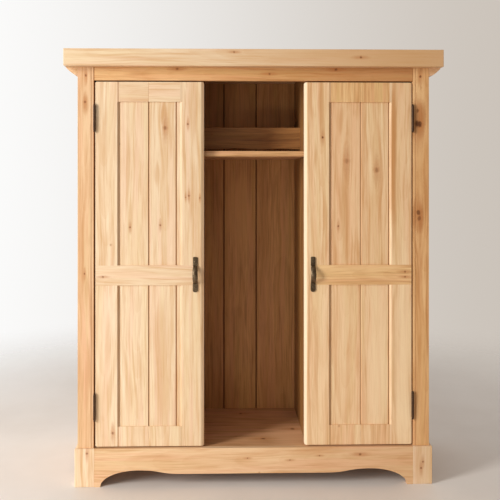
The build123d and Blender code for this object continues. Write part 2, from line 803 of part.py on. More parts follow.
if __name__ == "__main__":
    os.makedirs("parts", exist_ok=True)
    for name, piece in build().items():
        export_step(piece, "parts/" + name + ".step")
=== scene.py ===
import json
import math
import random

import bmesh
import bpy
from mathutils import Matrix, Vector


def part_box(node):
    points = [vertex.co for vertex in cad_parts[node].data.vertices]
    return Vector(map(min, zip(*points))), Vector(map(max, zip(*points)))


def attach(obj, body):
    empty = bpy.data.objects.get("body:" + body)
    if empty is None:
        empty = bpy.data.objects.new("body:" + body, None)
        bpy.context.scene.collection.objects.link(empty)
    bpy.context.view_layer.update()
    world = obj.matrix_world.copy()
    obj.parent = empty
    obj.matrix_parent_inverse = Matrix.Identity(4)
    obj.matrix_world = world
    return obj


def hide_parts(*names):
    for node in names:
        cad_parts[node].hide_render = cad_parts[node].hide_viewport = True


# The looks of a free-standing knotty pine wardrobe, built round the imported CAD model.
# Metres, +Z up, the front faces -Y.

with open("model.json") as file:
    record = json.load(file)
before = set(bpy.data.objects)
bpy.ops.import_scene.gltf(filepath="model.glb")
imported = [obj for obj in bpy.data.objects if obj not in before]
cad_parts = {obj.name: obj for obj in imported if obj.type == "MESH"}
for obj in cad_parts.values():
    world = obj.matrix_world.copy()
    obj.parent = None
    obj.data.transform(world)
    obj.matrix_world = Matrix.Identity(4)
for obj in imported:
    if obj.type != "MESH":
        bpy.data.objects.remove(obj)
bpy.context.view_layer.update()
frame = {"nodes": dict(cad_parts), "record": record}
NODES = frame["nodes"]


# ---- Shader helpers -----------------------------------------------------------------------

def srgb(text):
    """A linear colour from the usual six hexadecimal digits."""
    values = [int(text[i:i + 2], 16) / 255 for i in (0, 2, 4)]
    linear = [v / 12.92 if v <= 0.04045 else ((v + 0.055) / 1.055) ** 2.4 for v in values]
    return (*linear, 1.0)


class Graph:
    """Adds shader nodes to one material and joins them."""

    def __init__(self, name):
        self.material = bpy.data.materials.new(name)
        self.material.use_nodes = True
        self.tree = self.material.node_tree
        self.shader = self.tree.nodes["Principled BSDF"]

    def feed(self, socket, value):
        if isinstance(value, bpy.types.NodeSocket):
            self.tree.links.new(value, socket)
        else:
            socket.default_value = value

    def node(self, kind, **settings):
        made = self.tree.nodes.new(kind)
        for key, value in settings.items():
            setattr(made, key, value)
        return made

    def math(self, operation, *values, clamp=False):
        made = self.node("ShaderNodeMath", operation=operation, use_clamp=clamp)
        for socket, value in zip(made.inputs, values):
            self.feed(socket, value)
        return made.outputs[0]

    def add(self, *values):
        total = values[0]
        for value in values[1:]:
            total = self.math("ADD", total, value)
        return total

    def times(self, first, second):
        return self.math("MULTIPLY", first, second)

    def centred(self, value, reach):
        """A value of 0 to 1 turned into one of minus to plus half of reach."""
        return self.math("MULTIPLY_ADD", value, reach, -reach / 2)

    def vector(self, x, y, z):
        made = self.node("ShaderNodeCombineXYZ")
        for socket, value in zip(made.inputs, (x, y, z)):
            self.feed(socket, value)
        return made.outputs[0]

    def noise(self, vector, scale, detail=3.0, rough=0.5, warp=0.0):
        made = self.node("ShaderNodeTexNoise")
        self.feed(made.inputs["Vector"], vector)
        made.inputs["Scale"].default_value = scale
        made.inputs["Detail"].default_value = detail
        made.inputs["Roughness"].default_value = rough
        made.inputs["Distortion"].default_value = warp
        return made.outputs["Fac"], made.outputs["Color"]

    def parts(self, vector):
        made = self.node("ShaderNodeSeparateXYZ")
        self.feed(made.inputs[0], vector)
        return made.outputs

    def mix(self, factor, first, second, blend="MIX"):
        made = self.node("ShaderNodeMix", data_type="RGBA", blend_type=blend)
        made.clamp_factor = True
        for socket, value in zip((made.inputs[0], made.inputs[6], made.inputs[7]),
                                 (factor, first, second)):
            self.feed(socket, value)
        return made.outputs[2]

    def remap(self, value, low, high, to_low=0.0, to_high=1.0):
        made = self.node("ShaderNodeMapRange", interpolation_type="SMOOTHSTEP")
        for socket, entry in zip(made.inputs, (value, low, high, to_low, to_high)):
            self.feed(socket, entry)
        return made.outputs[0]

    def place(self):
        """Coordinates fixed to the piece, in metres."""
        return self.node("ShaderNodeTexCoord").outputs["Object"]

    def bump(self, height, distance, strength=1.0):
        made = self.node("ShaderNodeBump")
        made.inputs["Strength"].default_value = strength
        made.inputs["Distance"].default_value = distance
        self.feed(made.inputs["Height"], height)
        self.feed(self.shader.inputs["Normal"], made.outputs[0])


# ---- Wood ---------------------------------------------------------------------------------

# Each tone: early wood, late wood, a pinkish streak, a yellowish streak, and a deep streak.
TONES = {
    "pale": ("F6E0C0", "E0BA8E", "F2CEB0", "EED6AC", "D09E6A"),
    "tan": ("F8DAB0", "DAA674", "EEC096", "EACA98", "C6894E"),
    "honey": ("F0CEA4", "D8A678", "EAB994", "E2C292", "C0864E"),
    "amber": ("F4CE98", "D6A068", "E8B080", "E2BE80", "B67A44"),
    "ochre": ("F0C48E", "CF965C", "E4A878", "DEB678", "B0703A"),
    "inner": ("D89E62", "AE7640", "CC8E5E", "C69654", "86562A"),
    "dusk": ("BE8A52", "926034", "AC784A", "A67A42", "6A4420"),
    "floor": ("E8B68A", "BE8858", "DEA684", "D4A872", "966434"),
    "shade": ("A2723F", "7C5028", "926238", "8E6836", "583616"),
}
KNOT = "6A3E20"
KNOT_RIM = "B8733F"
# The dark in a groove, chamfer or gap, outside and on the wood inside: partly finish gathered
# there, partly painted shade. And a painted highlight on an edge that faces the light.
GROOVE_STAIN_AND_SHADE = "9A5A1E"
INNER_GROOVE_STAIN_AND_SHADE = "4E2A0E"
SHADED_TONES = ("inner", "floor", "dusk", "shade")
PAINTED_HIGHLIGHT = "FFEBCC"


def board_of(g, a, length, seed, seams, span, parted):
    """The middle of the board that a point lies in, and three random values of its own."""
    limits = [span[0], *seams, span[1]]
    middles = [(low + high) / 2 for low, high in zip(limits, limits[1:])]
    index = 0.0
    middle = middles[0]
    for seam, before, after in zip(seams, middles, middles[1:]):
        beyond = g.math("GREATER_THAN", a, seam)
        index = g.add(index, beyond)
        middle = g.math("MULTIPLY_ADD", beyond, after - before, middle)
    for seam in parted:
        index = g.math("MULTIPLY_ADD", g.math("GREATER_THAN", length, seam), 17.0, index)
    own = g.node("ShaderNodeTexWhiteNoise", noise_dimensions="1D")
    g.feed(own.inputs["W"], g.add(index, seed * 1.37))
    return middle, g.parts(own.outputs["Color"])


def knots_in(g, a, length, knots):
    """The knots that stand out, the darker rim round them, and the grain that they push aside."""
    knot = 0.0
    rim = 0.0
    straight = a
    fuzz = g.centred(g.noise(g.place(), 110.0, 2.0)[0], 1.0)
    for knot_a, knot_l, size, strength in knots:
        aside = g.math("SUBTRACT", a, knot_a)
        ahead = g.math("SUBTRACT", length, knot_l)
        squares = [g.times(aside, aside), g.times(g.times(ahead, ahead), 0.6)]
        away = g.math("SQRT", g.add(*squares))
        away = g.math("MULTIPLY_ADD", fuzz, size * 0.8, away)
        core = g.remap(away, size * 0.95, size * 0.40, 0.0, strength)
        knot = g.math("MAXIMUM", core, knot)
        rim = g.math("MAXIMUM", g.remap(away, size * 2.2, size * 0.8, 0.0, 0.62), rim)
        long_away = g.math("SQRT", g.add(squares[0], g.times(squares[1], 0.08)))
        long_away = g.math("MULTIPLY_ADD", fuzz, size * 0.8, long_away)
        rim = g.math("MAXIMUM", g.remap(long_away, size * 2.4, size * 0.4, 0.0, 0.50), rim)
        push = g.remap(long_away, size * 5.0, size * 0.5, 0.0, size * 1.25)
        side = g.math("DIVIDE", aside, g.add(g.math("ABSOLUTE", aside), size * 0.5))
        straight = g.math("SUBTRACT", straight, g.times(push, side))
    return knot, rim, straight


def rings_in(g, line, length, depth, bend, middle, chances, far, seed):
    """The growth rings of a log, and the bands in which they come.

    Both follow the distance from the pith, which lies behind the face and tapers along it.
    """
    r1, r2, r3 = chances
    u = g.math("SUBTRACT", line, g.add(middle, g.centred(r1, 0.07)))
    v = g.math("MULTIPLY_ADD", r2, 0.075, 0.012)
    v = g.add(v, g.centred(bend, 0.030), g.times(depth, 0.8))
    taper = g.math("MULTIPLY_ADD", r3, 0.040, 0.006)
    v = g.math("MULTIPLY_ADD", length, taper, v)
    radius = g.math("SQRT", g.add(g.times(u, u), g.times(v, v)))
    year = g.math("DIVIDE", radius, g.math("MULTIPLY_ADD", r3, 0.0025, 0.0045))
    ring = g.math("POWER", g.math("FRACT", year), 2.2)
    groups = g.noise(g.vector(g.times(radius, 75.0), far, seed * 0.7), 1.0, 2.0, 0.55)[0]
    return ring, g.remap(groups, 0.32, 0.68)


def pin_knots(g, straight, length, chance):
    """The dark spots of a few pin knots anywhere, and the darker halo round them."""
    pins = g.node("ShaderNodeTexVoronoi", voronoi_dimensions="2D")
    pins.inputs["Scale"].default_value = 3.1
    g.feed(pins.inputs["Vector"], g.vector(g.add(straight, g.times(chance, 5.0)), length, 0.0))
    chosen = g.math("GREATER_THAN", g.parts(pins.outputs["Color"])[0], 0.72)
    spot = g.times(g.remap(pins.outputs["Distance"], 0.011, 0.003), chosen)
    halo = g.times(g.remap(pins.outputs["Distance"], 0.030, 0.006), chosen)
    return spot, halo


def smudged(g, colour, line, length, ragged, smudges, light, deep):
    """A colour with soft patches in it, darker or paler, whose outlines are ragged."""
    for patch_a, patch_l, half_a, half_l, strength in smudges:
        aside = g.math("DIVIDE", g.math("SUBTRACT", line, patch_a), half_a)
        ahead = g.math("DIVIDE", g.math("SUBTRACT", length, patch_l), half_l)
        off = g.add(g.times(aside, aside), g.times(ahead, ahead), ragged)
        shown = g.remap(off, 1.2, 0.0, 0.0, abs(strength))
        colour = g.mix(shown, colour, deep if strength > 0.0 else light)
    return colour


def grooved(g, colour, axes, quirks, groove_stain_and_shade):
    """A colour with dark lines in its grooves, chamfers and gaps, partly finish gathered there and
    partly painted shade, and painted highlights on some edges.
    """
    for axis, centre, half, strength in quirks:
        off = g.math("ABSOLUTE", g.math("SUBTRACT", axes[axis], centre))
        # A negative strength gives a painted highlight on an edge that faces the light.
        target = srgb(PAINTED_HIGHLIGHT if strength < 0.0 else groove_stain_and_shade)
        shown = g.remap(off, half, half * 0.35, 0.0, abs(strength))
        colour = g.mix(shown, colour, target)
    return colour


def pine(name, along, across, seed, tone, seams=(), span=(0.0, 0.0), parted=(), knots=(),
         quirks=(), smudges=(), fade=None):
    """Knotty pine sawn from tapering logs, with growth rings, fibres and knots in the solid.

    along is the axis of the grain and across the axis over the board's face. seams part the
    boards of one piece across the grain, within span, and parted parts them along it; each
    board comes from its own log. Lengths are in metres, and places are given across the
    grain first, then along it:

    knots    (across, along, radius, darkness)
    quirks   (axis, place, half width, strength): dark lines in grooves, chamfers and gaps,
         partly finish gathered there and partly painted shade, or painted highlights on
         edges that face the light where the strength is negative
    smudges  (across, along, half size across, half size along, strength): soft patches,
             darker, or paler where the strength is negative
    fade     (from, to, strength): darkening along the grain, the wood's tone, and on some
         pieces also painted shade where the light falls off
    """
    g = Graph(name)
    axes = dict(zip("XYZ", g.parts(g.place())))
    a = axes[across]
    length = axes[along]
    depth = axes[({"X", "Y", "Z"} - {along, across}).pop()]
    light, dark, pink, yellow, deep = (srgb(text) for text in TONES[tone])
    middle, chances = board_of(g, a, length, seed, seams, span, parted)
    far = g.times(chances[0], 31.0)
    knot, rim, straight = knots_in(g, a, length, knots)

    # The grain sways slowly, and ripples a little.
    drift = g.vector(far, seed * 3.1, g.times(length, 1.5))
    sway = g.parts(g.noise(drift, 1.0, 2.0)[1])
    ripple_place = g.vector(g.add(g.times(a, 9.0), far), g.times(depth, 9.0), g.times(length, 1.9))
    ripple = g.parts(g.noise(ripple_place, 1.6, 3.0, 0.5)[1])
    line = g.add(straight, g.centred(sway[0], 0.034), g.centred(ripple[0], 0.020))
    ring, groups = rings_in(g, line, length, depth, sway[1], middle, chances, far, seed)

    # Streaks run straight along the fibres, from broad ones down to single fibres.
    run = g.vector(g.add(line, far), depth, g.times(length, 0.045))
    thread = g.vector(g.add(line, far), depth, g.times(length, 0.022))
    tints = g.parts(g.noise(run, 30.0, 2.0, 0.5)[1])
    vein = g.noise(run, 60.0, 1.0, 0.5)[0]
    fine = g.remap(g.noise(run, 120.0, 4.0, 0.7)[0], 0.34, 0.68)
    hair = g.noise(thread, 230.0, 2.0, 0.6)[0]
    fibre = g.noise(thread, 520.0, 2.0, 0.6)[0]
    blotch_place = g.vector(g.add(a, far), depth, g.times(length, 0.30))
    blotch = g.noise(blotch_place, 17.0, 3.0, 0.55, 0.4)[0]

    # How much of the late wood's colour shows, then the tints over it.
    grain = g.times(groups, 0.32)
    grain = g.math("MULTIPLY_ADD", g.remap(tints[0], 0.36, 0.64), 0.34, grain)
    grain = g.math("MULTIPLY_ADD", fine, 0.26, grain)
    grain = g.math("MULTIPLY_ADD", ring, 0.14, grain)
    grain = g.add(grain, g.centred(fibre, 0.30), g.centred(chances[1], 0.20))
    colour = g.mix(grain, light, dark)
    colour = g.mix(g.remap(tints[1], 0.48, 0.64, 0.0, 0.50), colour, pink)
    colour = g.mix(g.remap(tints[2], 0.50, 0.68, 0.0, 0.50), colour, yellow)
    colour = g.mix(g.remap(vein, 0.56, 0.74, 0.0, 0.36), colour, deep)
    colour = g.mix(g.remap(hair, 0.52, 0.66, 0.0, 0.34), colour, deep)
    colour = g.mix(g.remap(blotch, 0.50, 0.74, 0.0, 0.20), colour, deep)
    ragged = g.centred(ripple[2], 1.3)
    colour = smudged(g, colour, line, length, ragged, smudges, light, deep)
    # Darkening along the grain: on some pieces partly painted shade, the light falling off.
    if fade:
        colour = g.mix(g.remap(length, fade[0], fade[1], 0.0, fade[2]), colour, deep)

    # Knots over the grain; then dark lines in grooves, chamfers and gaps, partly finish and partly
    # painted shade, painted highlights on some edges, and the finish over all.
    spot, halo = pin_knots(g, straight, length, chances[0])
    colour = g.mix(g.times(halo, 0.30), colour, srgb(KNOT_RIM))
    colour = g.mix(g.times(spot, 0.55), colour, srgb(KNOT))
    if knots:
        colour = g.mix(rim, colour, srgb(KNOT_RIM))
        colour = g.mix(knot, colour, srgb(KNOT))
    # The dark lines are partly finish gathered in grooves and gaps and partly painted shade.
    groove_stain_and_shade = INNER_GROOVE_STAIN_AND_SHADE if tone in SHADED_TONES else GROOVE_STAIN_AND_SHADE
    g.feed(g.shader.inputs["Base Color"], grooved(g, colour, axes, quirks, groove_stain_and_shade))
    smear = g.noise(g.place(), 9.0, 3.0, 0.6)[0]
    rough = g.math("MULTIPLY_ADD", fibre, 0.16, g.math("MULTIPLY_ADD", smear, 0.16, 0.30))
    g.feed(g.shader.inputs["Roughness"], rough)
    g.shader.inputs["Specular IOR Level"].default_value = 0.26
    height = g.add(g.times(ring, 0.30), g.times(fibre, 0.75), g.times(groups, -0.25))
    height = g.math("MULTIPLY_ADD", spot, -0.5, height)
    if knots:
        height = g.math("MULTIPLY_ADD", knot, -0.7, height)
    g.bump(height, 0.0006, 0.6)
    return g.material


# For each wooden node: the axis of its grain, the axis across its face, and its tone.
WOOD = {
    "cornice_front": ("X", "Z", "pale"),
    "cornice_left": ("Y", "Z", "honey"),
    "cornice_right": ("Y", "Z", "honey"),
    "cornice_mouldings": ("Y", "X", "honey"),
    # The top rail's darker ochre is partly its own wood and partly painted shade under the
    # cornice.
    "front_top_rail": ("X", "Z", "ochre"),
    "front_post_left": ("Z", "X", "honey"),
    "front_post_right": ("Z", "X", "ochre"),
    "rear_post_left": ("Z", "X", "honey"),
    "rear_post_right": ("Z", "X", "honey"),
    "side_rails_left": ("Y", "Z", "honey"),
    "side_rails_right": ("Y", "Z", "honey"),
    "side_boards_left": ("Z", "Y", "honey"),
    "side_boards_right": ("Z", "Y", "honey"),
    "plinth_front": ("X", "Z", "honey"),
    "plinth_blocks": ("Z", "X", "pale"),
    "plinth_side_left": ("Y", "Z", "honey"),
    "plinth_side_right": ("Y", "Z", "honey"),
    "plinth_rear": ("X", "Z", "inner"),
    "plinth_bearers": ("Y", "Z", "inner"),
    "top_board": ("X", "Y", "honey"),
    "bottom_board": ("X", "Y", "floor"),
    "partition_left": ("Z", "Y", "shade"),
    "partition_right": ("Z", "Y", "shade"),
    "back_boards": ("Z", "X", "inner"),
    "back_rails": ("X", "Z", "inner"),
    "centre_shelf": ("X", "Y", "floor"),
    "side_shelves": ("X", "Y", "inner"),
    "shelf_upstand": ("X", "Z", "dusk"),
    "shelf_battens": ("Y", "Z", "inner"),
    "hanging_rails": ("X", "Z", "inner"),
    "left_hinge_stile": ("Z", "X", "pale"),
    "left_lock_stile": ("Z", "X", "pale"),
    "left_door_top_rail": ("X", "Z", "pale"),
    "left_door_mid_rail": ("X", "Z", "pale"),
    "left_door_bottom_rail": ("Z", "X", "pale"),
    "left_door_upper_boards": ("Z", "X", "pale"),
    "left_door_lower_boards": ("Z", "X", "pale"),
    "right_hinge_stile": ("Z", "X", "tan"),
    "right_lock_stile": ("Z", "X", "tan"),
    "right_door_top_rail": ("Z", "X", "amber"),
    "right_door_mid_rail": ("X", "Z", "amber"),
    "right_door_bottom_rail": ("Z", "X", "tan"),
    "right_door_upper_boards": ("Z", "X", "tan"),
    "right_door_lower_boards": ("Z", "X", "tan"),
}

# Seams between the boards of one piece, along the axis across its face.
SEAMS = {
    "back_boards": (-0.530, -0.335, -0.132, 0.033, 0.240, 0.420, 0.570),
    "side_boards_left": (-0.105, 0.020, 0.140),
    "side_boards_right": (-0.105, 0.020, 0.140),
    "partition_left": (-0.015,),
    "partition_right": (-0.015,),
    "left_door_upper_boards": (-0.461, -0.341),
    "left_door_lower_boards": (-0.461, -0.341),
    "right_door_upper_boards": (0.469,),
    "right_door_lower_boards": (0.469,),
    "left_door_bottom_rail": (-0.461,),
    "right_door_top_rail": (0.469,),
    "right_door_bottom_rail": (0.469,),
    "plinth_blocks": (0.0,),
    "cornice_mouldings": (0.0,),
}

# Where one piece changes to another along its grain.
PARTED = {
    "left_door_top_rail": (-0.461,),
}

# Dark lines along grooves, chamfers and gaps, partly finish gathered there and partly painted
# shade, and painted highlights on edges that face the light (negative): axis, place along it,
# half width, strength. Boarded pieces that aren't named here get such a dark line along each seam.
QUIRKS = {
    # -0.699 on the left post is painted shade beside the door's gap.
    "front_post_left": (("X", -0.711, 0.0022, 0.45), ("X", -0.699, 0.0050, 0.70)),
    "front_post_right": (("X", 0.711, 0.0022, 0.35),),
    "front_top_rail": (("X", -0.699, 0.004, 0.7), ("X", 0.699, 0.004, 0.7)),
    # Painted shade: the left hinge stile's chamfer (-0.594), the left lock stile's rounded free
    # edge (-0.22), the right lock stile's inner chamfer (0.3325) and the right boards' edge beside
    # the hinge stile (0.593) face away from the light.
    "left_hinge_stile": (("X", -0.5940, 0.0050, 0.60),),
    "left_lock_stile": (("X", -0.2200, 0.0120, 0.30), ("X", -0.3195, 0.0060, 0.20)),
    # Painted highlights: the right lock stile's free edge (0.2245) and the right hinge stile's
    # chamfer (0.601) face the light.
    "right_lock_stile": (("X", 0.3325, 0.0050, 0.55), ("X", 0.2245, 0.0100, -0.75)),
    "right_hinge_stile": (("X", 0.6010, 0.0055, -0.20),),
    "right_door_upper_boards": (("X", 0.5930, 0.0035, 0.45), ("X", 0.469, 0.0045, 0.35)),
    "right_door_lower_boards": (("X", 0.5930, 0.0035, 0.45), ("X", 0.469, 0.0045, 0.30)),
}

# The knots that stand out: across and along the grain, radius, darkness.
KNOTS = {
    "front_post_left": ((-0.734, 1.789, 0.005, 0.7), (-0.738, 1.674, 0.006, 0.6),
                        (-0.740, 0.925, 0.004, 0.7)),
    "front_post_right": ((0.732, 1.789, 0.006, 0.8), (0.720, 1.639, 0.008, 0.6),
                         (0.7170, 1.5815, 0.014, 1.0), (0.7275, 1.5790, 0.015, 1.0),
                         (0.724, 1.190, 0.012, 0.75), (0.727, 1.165, 0.011, 0.6)),
    "front_top_rail": ((1.8186, -0.338, 0.006, 0.6), (1.798, 0.067, 0.005, 0.7),
                       (1.8186, 0.359, 0.007, 0.7)),
    "cornice_front": ((1.886, -0.089, 0.004, 0.7), (1.865, 0.4605, 0.005, 0.7)),
    "left_door_upper_boards": ((-0.390, 1.561, 0.008, 0.5), (-0.411, 1.1355, 0.004, 0.7),
                               (-0.543, 1.127, 0.004, 0.7)),
    "left_lock_stile": ((-0.290, 1.578, 0.004, 0.8), (-0.286, 1.264, 0.004, 0.7),
                        (-0.300, 1.258, 0.003, 0.6), (-0.238, 1.255, 0.003, 0.6)),
    "left_hinge_stile": ((-0.617, 0.230, 0.006, 0.6),),
    "left_door_mid_rail": ((0.911, -0.660, 0.004, 0.7),),
    "right_door_mid_rail": ((0.930, 0.664, 0.005, 0.6), (0.908, 0.664, 0.004, 0.6)),
    "right_lock_stile": ((0.300, 1.5205, 0.005, 0.9),),
    "right_door_upper_boards": ((0.408, 1.417, 0.010, 0.30), (0.540, 1.3775, 0.010, 0.40),
                                (0.370, 1.130, 0.004, 0.8)),
    "plinth_front": ((0.133, 0.463, 0.006, 0.7), (0.120, -0.03, 0.003, 0.7),
                     (0.110, 0.155, 0.003, 0.7), (0.128, 0.285, 0.003, 0.7)),
    "plinth_blocks": ((-0.727, 0.146, 0.005, 0.7), (0.740, 0.098, 0.004, 0.7),
                      (0.732, 0.070, 0.005, 0.7)),
    "bottom_board": ((-0.162, 0.044, 0.010, 0.8), (-0.044, 0.189, 0.010, 0.8),
                     (0.170, -0.049, 0.008, 0.8)),
}

# Soft patches, darker or paler (negative): across and along the grain, half sizes, strength.
# Most are the wood's own tone; the pale ones low on the right door and on the bottom board are
# painted light.
SMUDGES = {
    "left_hinge_stile": ((-0.651, 1.50, 0.015, 0.20, 0.45), (-0.640, 0.62, 0.014, 0.16, 0.35)),
    "left_lock_stile": ((-0.262, 1.66, 0.026, 0.16, 0.40), (-0.268, 1.22, 0.020, 0.20, 0.30)),
    "left_door_upper_boards": (
        (-0.558, 1.40, 0.012, 0.20, 0.40), (-0.541, 1.18, 0.010, 0.09, 0.45),
        (-0.386, 1.63, 0.010, 0.06, 0.75), (-0.418, 1.36, 0.015, 0.06, 0.45),
    ),
    "left_door_lower_boards": (
        (-0.402, 0.55, 0.040, 0.32, 0.45), (-0.540, 0.42, 0.012, 0.12, 0.35),
    ),
    "right_lock_stile": (
        (0.300, 1.66, 0.014, 0.18, 0.60), (0.268, 0.55, 0.012, 0.20, 0.35),
        # Painted light: pale patch low on the right door, where more light falls.
        (0.300, 0.50, 0.030, 0.50, -0.40),
    ),
    "right_hinge_stile": (
        (0.617, 1.42, 0.018, 0.42, 0.85), (0.618, 0.50, 0.012, 0.25, 0.40),
        # Painted light: pale patch low on the right door, where more light falls.
        (0.655, 0.52, 0.045, 0.60, -0.60),
    ),
    "right_door_lower_boards": (
        # Painted light: pale patches low on the right door, where more light falls.
        (0.540, 0.50, 0.060, 0.60, -0.60), (0.385, 0.60, 0.030, 0.40, -0.40),
    ),
    "plinth_blocks": ((0.740, 0.10, 0.060, 0.15, 0.45),),
    "right_door_upper_boards": (
        (0.404, 1.16, 0.022, 0.24, 0.50), (0.548, 1.34, 0.012, 0.22, 0.40),
        (0.383, 1.60, 0.012, 0.07, 0.40),
    ),
    "front_post_right": ((0.722, 1.60, 0.022, 0.09, 0.55), (0.727, 1.17, 0.012, 0.07, 0.60)),
    "front_post_left": ((-0.736, 1.66, 0.014, 0.05, 0.40),),
    # Painted light: the pale patches are the pool of window light on the centre bay's floor.
    "bottom_board": ((-0.120, 0.170, 0.170, 0.110, -0.65), (0.150, 0.120, 0.100, 0.080, -0.40)),
    "back_boards": ((-0.050, 1.16, 0.070, 0.30, -0.60), (-0.050, 1.70, 0.060, 0.20, -0.40)),
}

# Darkening along the length: from, to, strength. On the top rail, cornice front and plinth
# front it is partly the wood's tone and partly painted shade, as the light falls off to the right.
FADES = {
    "front_top_rail": (-0.60, 0.75, 0.60),
    "cornice_front": (-0.70, 0.75, 0.80),
    "left_door_top_rail": (-0.455, -0.467, 0.25),
    "plinth_front": (-0.30, 0.70, 0.22),
}


# The half widths of the dark line along a seam, and its strength: the line is partly finish
# gathered in the groove and partly painted shade.
SEAM = 0.0045
BACK_SEAM = 0.0055
SEAM_STRENGTH = 0.75


def paint_wood():
    """A wood material of its own for each wooden node."""
    for seed, (node, (along, across, tone)) in enumerate(WOOD.items()):
        low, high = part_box(node)
        axis = "XYZ".index(across)
        quirks = list(QUIRKS.get(node, ()))
        if "boards" in node and node not in QUIRKS:
            half = BACK_SEAM if node == "back_boards" else SEAM
            # Dark seam lines: partly finish in the groove, partly painted shade.
            quirks += [(across, seam, half, SEAM_STRENGTH) for seam in SEAMS[node]]
        material = pine(
            "pine_" + node, along, across, seed + 1, tone, SEAMS.get(node, ()),
            (low[axis], high[axis]), PARTED.get(node, ()), KNOTS.get(node, ()), quirks,
            SMUDGES.get(node, ()), FADES.get(node),
        )
        NODES[node].data.materials.clear()
        NODES[node].data.materials.append(material)


# ---- Metal and plastic --------------------------------------------------------------------

def iron(name, base, worn, rough, metallic, hammer=0.0):
    """Old dark iron, mottled at random with a paler colour."""
    g = Graph(name)
    place = g.place()
    cloud = g.remap(g.noise(place, 60.0, 3.0, 0.5)[0], 0.25, 0.8)
    grit = g.noise(place, 1400.0, 3.0, 0.6)[0]
    colour = g.mix(g.times(cloud, 0.6), base, worn)
    g.feed(g.shader.inputs["Base Color"], colour)
    g.shader.inputs["Metallic"].default_value = metallic
    g.feed(g.shader.inputs["Roughness"], g.math("MULTIPLY_ADD", grit, 0.25, rough))
    dents = g.node("ShaderNodeTexVoronoi", feature="SMOOTH_F1")
    dents.inputs["Scale"].default_value = 170.0
    g.feed(dents.inputs["Vector"], place)
    height = g.add(g.times(cloud, 0.5), g.times(grit, 0.6), g.times(dents.outputs[0], hammer))
    g.bump(height, 0.0004, 0.5)
    return g.material


def paint_fittings():
    """Materials for everything that isn't wood."""
    finishes = {
        "hinge_iron": iron("hinge_iron", srgb("3E240E"), srgb("5E3E20"), 0.42, 0.35),
        "handle_iron": iron("handle_iron", srgb("54432F"), srgb("8A7860"), 0.26, 0.80, 0.6),
        "fitting_steel": iron("fitting_steel", srgb("8A8782"), srgb("A9A69F"), 0.28, 0.9),
        "catch_plastic": iron("catch_plastic", srgb("5A3D22"), srgb("65482B"), 0.45, 0.0),
    }
    for entry in frame["record"]["subparts"]:
        finish = finishes.get(entry["material_slot"])
        if finish:
            mesh = NODES[entry["node"]].data
            mesh.materials.clear()
            mesh.materials.append(finish)
    return finishes


# ---- Pulls --------------------------------------------------------------------------------

PULL_SEEDS = {"left": 31, "right": 47}


def eased(value, low, high):
    """0 below low, 1 above high, and a smooth step between."""
    t = min(max((value - low) / (high - low), 0.0), 1.0)
    return t * t * (3.0 - 2.0 * t)


def skin(shape, rings):
    """Faces between each ring of points and the next, and a cap at both ends."""
    around = len(rings[0])
    for first, second in zip(rings, rings[1:]):
        for step in range(around):
            after = (step + 1) % around
            shape.faces.new((first[step], first[after], second[after], second[step]))
    shape.faces.new(reversed(rings[0]))
    shape.faces.new(rings[-1])
    bmesh.ops.recalc_face_normals(shape, faces=shape.faces)
    for face in shape.faces:
        face.smooth = True


def pull(side, finish):
    """A forged pull in place of the plain CAD one: crowned feet, a necked and bowed grip.

    It is one swept body: at each height it has a half width, a back and a front, all
    measured from the door's face.
    """
    node = side + "_door_handle"
    low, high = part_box(node)
    centre_x = (low[0] + high[0]) / 2
    centre_z = (low[2] + high[2]) / 2
    face = high[1]
    half_width = (high[0] - low[0]) / 2
    half_length = (high[2] - low[2]) / 2
    reach = high[1] - low[1]
    rng = random.Random(PULL_SEEDS[side])

    # Thickness of the feet and the grip; where the bow starts, outside and inside.
    foot_thick = 0.0045
    grip_thick = 0.0095
    root_out = 0.041
    root_in = 0.031
    rows = 120
    around = 28
    shape = bmesh.new()
    rings = []
    for row in range(rows + 1):
        # The stations crowd together at both tips, which are rounded.
        t = row / rows
        along = -math.cos(math.pi * t) * 0.35 + (2.0 * t - 1.0) * 0.65
        z = along * half_length
        up = abs(z)
        end = half_length - up
        # Half width: a foot with a rounded tip, a neck, then the grip. The lower foot is
        # wider and rounder than the upper one, and its neck is shallower.
        upper = z > 0
        tip_radius = half_width * (0.42 if upper else 0.85)
        width = half_width * (0.93 if upper else 1.0)
        if end < tip_radius:
            width -= tip_radius - math.sqrt(tip_radius ** 2 - (tip_radius - end) ** 2)
        grip_width = half_width * (1.02 + 0.03 * math.cos(math.pi * z / root_in))
        foot_share = eased(up, root_out - 0.004, root_out + 0.002)
        width = grip_width + (width - grip_width) * foot_share
        neck = math.exp(-(((up - root_out + 0.006) / 0.0036) ** 2))
        width *= 1.0 - (0.16 if upper else 0.08) * neck
        width *= 1.0 + (rng.random() - 0.5) * 0.02
        # Front and back: flat feet, and a bow between them.
        bow = max(1.0 - (up / root_out) ** 2, 0.0)
        hollow = max(1.0 - (up / root_in) ** 2, 0.0)
        front = max(foot_thick * (0.70 + 0.30 * eased(end, 0.0, 0.006)), reach * bow ** 0.75)
        back = (reach - grip_thick) * hollow ** 0.75
        squareness = -0.22 + 0.92 * eased(up, root_in * 0.9, root_out)
        ring = []
        for step in range(around):
            angle = 2.0 * math.pi * step / around
            c, s = math.cos(angle), math.sin(angle)
            power = 1.0 - squareness
            x = width * math.copysign(abs(c) ** power, c)
            y = (front + back) / 2 + (front - back) / 2 * math.copysign(abs(s) ** power, s)
            ring.append(shape.verts.new((centre_x + x, face - y, centre_z + z)))
        rings.append(ring)
    skin(shape, rings)
    mesh = bpy.data.meshes.new(side + "_pull")
    shape.to_mesh(mesh)
    shape.free()
    made = bpy.data.objects.new(side + "_pull", mesh)
    bpy.context.scene.collection.objects.link(made)
    mesh.materials.append(finish)
    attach(made, side + "_door")
    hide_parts(node)


# ---- Stage --------------------------------------------------------------------------------

